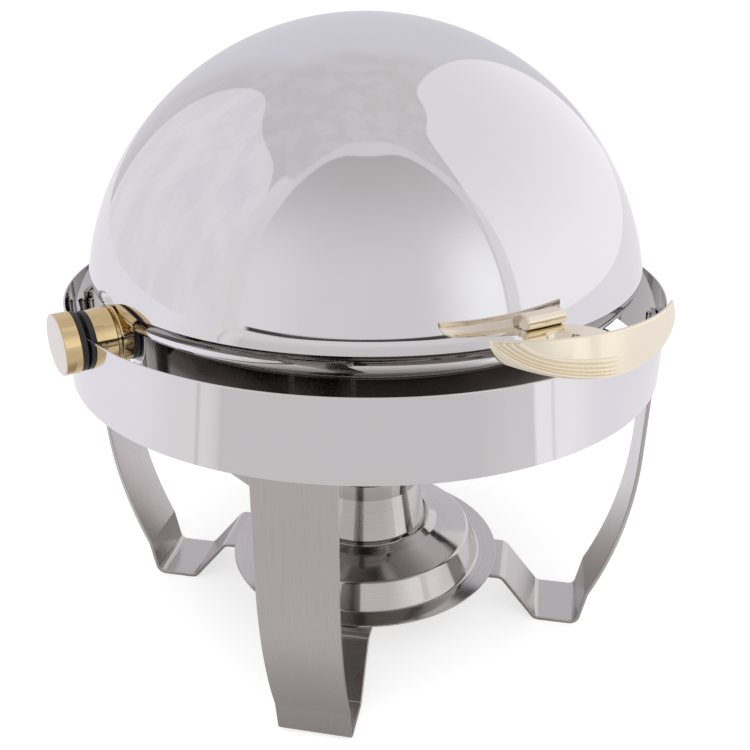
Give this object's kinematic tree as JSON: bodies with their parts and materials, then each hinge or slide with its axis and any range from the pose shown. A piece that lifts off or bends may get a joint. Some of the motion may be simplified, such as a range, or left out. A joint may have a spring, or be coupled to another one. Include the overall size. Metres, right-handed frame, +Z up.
{
  "type": "chafing dish",
  "caption": "Round roll-top food warmer: a turning dome on side pivots, a ring frame on strip legs, a water pan, a food pan and a fuel cup.",
  "frame": {"origin": "on the floor, under the middle of the closed dish's outline", "axes": "+Z up; -Y is the front, where the dome's handle is; +X is to the right seen from the front, along the pivots"},
  "size_m": [0.4712, 0.486, 0.47],
  "materials": {
    "mirror_steel": "mirror polished stainless sheet",
    "satin_steel": "satin stainless strip, fine lengthwise grain",
    "burner_steel": "bright spun stainless sheet",
    "pan_steel": "brushed inside, bright drawn stainless",
    "cradle_steel": "plain stainless strip",
    "polished_brass": "polished turned brass",
    "pale_brass": "pale polished brass plate",
    "rubber": "black moulded rubber",
    "nylon": "white nylon",
    "bright_steel": "plated machine hardware"
  },
  "bodies": {
    "frame": {"frame_ring": "mirror_steel", "leg_front_left": "satin_steel", "leg_front_right": "satin_steel", "leg_rear_left": "satin_steel", "leg_rear_right": "satin_steel", "leg_welds": "satin_steel", "fuel_plate": "burner_steel", "pan_cradle": "cradle_steel", "cradle_arm_left": "cradle_steel", "cradle_lug_left": "cradle_steel", "cradle_arm_right": "cradle_steel", "cradle_lug_right": "cradle_steel", "pivot_knob_left": "polished_brass", "knob_washer_left": "rubber", "ring_washer_left": "rubber", "barrel_outer_left": "polished_brass", "barrel_inner_left": "polished_brass", "dome_washer_left": "rubber", "thrust_washer_left": "nylon", "pivot_bolt_left": "bright_steel", "pivot_nut_left": "bright_steel", "pivot_knob_right": "polished_brass", "knob_washer_right": "rubber", "ring_washer_right": "rubber", "barrel_outer_right": "polished_brass", "barrel_inner_right": "polished_brass", "dome_washer_right": "rubber", "thrust_washer_right": "nylon", "pivot_bolt_right": "bright_steel", "pivot_nut_right": "bright_steel"},
    "dome": {"dome_cover": "mirror_steel", "handle_mount": "pale_brass", "handle_arm": "pale_brass", "handle_grip": "pale_brass", "handle_screws": "bright_steel"},
    "water_pan": {"water_pan": "pan_steel"},
    "food_pan": {"food_pan": "pan_steel"},
    "burner": {"fuel_cup": "burner_steel", "fuel_cup_cover": "burner_steel", "snuffer_pin": "burner_steel"},
    "snuffer": {"snuffer_plate": "burner_steel"}
  },
  "joints": [
    {"name": "dome_hinge", "type": "hinge", "parent": "frame", "child": "dome", "pos_m": [0, 0.02205, 0.277], "axis": [-1, 0, 0], "range_deg": [0, 70]},
    {"name": "water_pan_lift", "type": "slide", "parent": "frame", "child": "water_pan", "axis": [0, 0, 1], "range_m": [0, 0.012]},
    {"name": "food_pan_lift", "type": "slide", "parent": "water_pan", "child": "food_pan", "axis": [0, 0, 1], "range_m": [0, 0.03]},
    {"name": "burner_lift", "type": "slide", "parent": "frame", "child": "burner", "axis": [0, 0, 1], "range_m": [0, 0.03]},
    {"name": "snuffer_swing", "type": "hinge", "parent": "burner", "child": "snuffer", "pos_m": [0.034, 0.02205, 0.1308], "axis": [0, 0, 1], "range_deg": [0, 100]}
  ]
}
